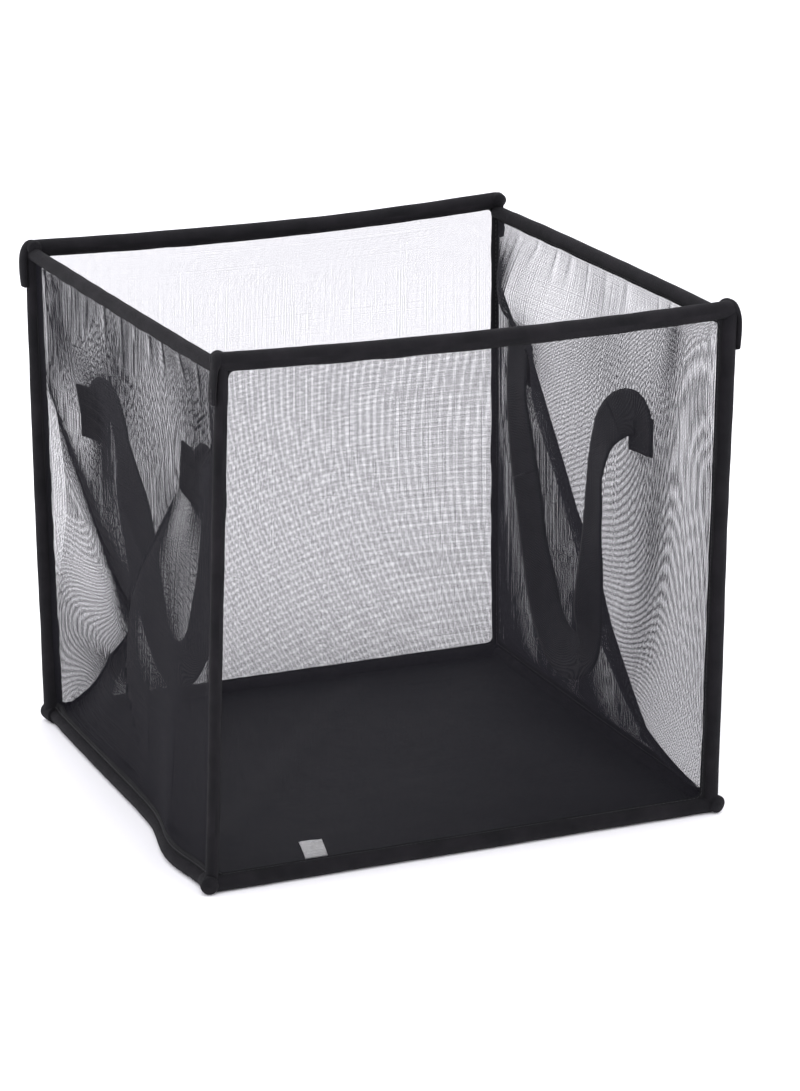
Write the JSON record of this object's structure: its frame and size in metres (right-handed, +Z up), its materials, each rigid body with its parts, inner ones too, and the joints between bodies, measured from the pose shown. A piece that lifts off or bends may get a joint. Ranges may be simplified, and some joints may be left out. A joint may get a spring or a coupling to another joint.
{
  "type": "folding mesh basket",
  "caption": "Open-topped folding cube basket of black mesh on cloth-sleeved spring wire, with a solid cloth floor and webbing loops sewn inside two walls.",
  "frame": {"origin": "on the ground, under the middle of the open basket", "axes": "+X to the right wall, +Y to the back wall, +Z up; the front frame is the fixed body"},
  "size_m": [0.4036, 0.3836, 0.3828],
  "materials": {
    "sleeve_cloth": "tight plain-weave polyester sleeve, matt",
    "cap_cloth": "plain-weave polyester, folded double, matt",
    "edge_piping": "plain-weave polyester piping",
    "mesh": "fine open polyester mesh, see-through",
    "floor_cloth": "dense black cloth, faint sheen",
    "webbing": "ribbed flat webbing, matt",
    "label_satin": "white satin ribbon, blank",
    "spring_steel": "tempered round spring wire",
    "ferrule_steel": "plain crimped tube"
  },
  "bodies": {
    "front_frame": {"front_wire_loop": "spring_steel", "front_wire_ferrule": "ferrule_steel", "front_top_sleeve": "sleeve_cloth", "front_bottom_sleeve": "sleeve_cloth", "front_left_post_sleeve": "sleeve_cloth", "front_right_post_sleeve": "sleeve_cloth", "front_mesh_panel": "mesh", "front_left_corner_cap": "cap_cloth", "front_left_gusset": "mesh", "front_left_top_rail_end": "sleeve_cloth", "front_left_bottom_rail_end": "sleeve_cloth", "front_right_corner_cap": "cap_cloth", "front_right_gusset": "mesh", "front_right_top_rail_end": "sleeve_cloth", "front_right_bottom_rail_end": "sleeve_cloth", "floor_panel": "floor_cloth", "care_label": "label_satin"},
    "back_frame": {"back_wire_loop": "spring_steel", "back_wire_ferrule": "ferrule_steel", "back_top_sleeve": "sleeve_cloth", "back_bottom_sleeve": "sleeve_cloth", "back_left_post_sleeve": "sleeve_cloth", "back_right_post_sleeve": "sleeve_cloth", "back_mesh_panel": "mesh", "back_left_corner_cap": "cap_cloth", "back_left_gusset": "mesh", "back_left_top_rail_end": "sleeve_cloth", "back_left_bottom_rail_end": "sleeve_cloth", "back_right_corner_cap": "cap_cloth", "back_right_gusset": "mesh", "back_right_top_rail_end": "sleeve_cloth", "back_right_bottom_rail_end": "sleeve_cloth"},
    "left_side": {"left_top_rod": "spring_steel", "left_top_sleeve": "sleeve_cloth", "left_bottom_rod": "spring_steel", "left_bottom_sleeve": "sleeve_cloth", "left_front_edge_piping": "edge_piping", "left_back_edge_piping": "edge_piping", "left_mesh_panel": "mesh", "left_handle_front_tab": "webbing", "left_handle_back_tab": "webbing"},
    "right_side": {"right_top_rod": "spring_steel", "right_top_sleeve": "sleeve_cloth", "right_bottom_rod": "spring_steel", "right_bottom_sleeve": "sleeve_cloth", "right_front_edge_piping": "edge_piping", "right_back_edge_piping": "edge_piping", "right_mesh_panel": "mesh", "right_handle_front_tab": "webbing", "right_handle_back_tab": "webbing"},
    "left_handle": {"left_handle_webbing": "webbing"},
    "right_handle": {"right_handle_webbing": "webbing"}
  },
  "joints": [
    {"name": "left_fold", "type": "hinge", "parent": "front_frame", "child": "left_side", "pos_m": [-0.194, -0.154, 0], "axis": [0, 0, -1], "range_deg": [0, 90], "stiffness_Nm_per_rad": 0.15, "deforming": ["floor_panel"]},
    {"name": "right_fold", "type": "hinge", "parent": "front_frame", "child": "right_side", "pos_m": [0.194, -0.154, 0], "axis": [0, 0, -1], "range_deg": [0, 90]},
    {"name": "back_fold", "type": "hinge", "parent": "left_side", "child": "back_frame", "pos_m": [-0.194, 0.154, 0], "axis": [0, 0, 1], "range_deg": [0, 90]},
    {"name": "left_handle_swing", "type": "hinge", "parent": "left_side", "child": "left_handle", "pos_m": [-0.172, -0.016, 0.283], "axis": [0, -1, 0], "range_deg": [0, 180]},
    {"name": "right_handle_swing", "type": "hinge", "parent": "right_side", "child": "right_handle", "pos_m": [0.172, 0.016, 0.283], "axis": [0, 1, 0], "range_deg": [0, 180]}
  ],
  "couplings": [
    {"joint": "right_fold", "follows": "left_fold", "ratio": 1},
    {"joint": "back_fold", "follows": "left_fold", "ratio": 1}
  ]
}
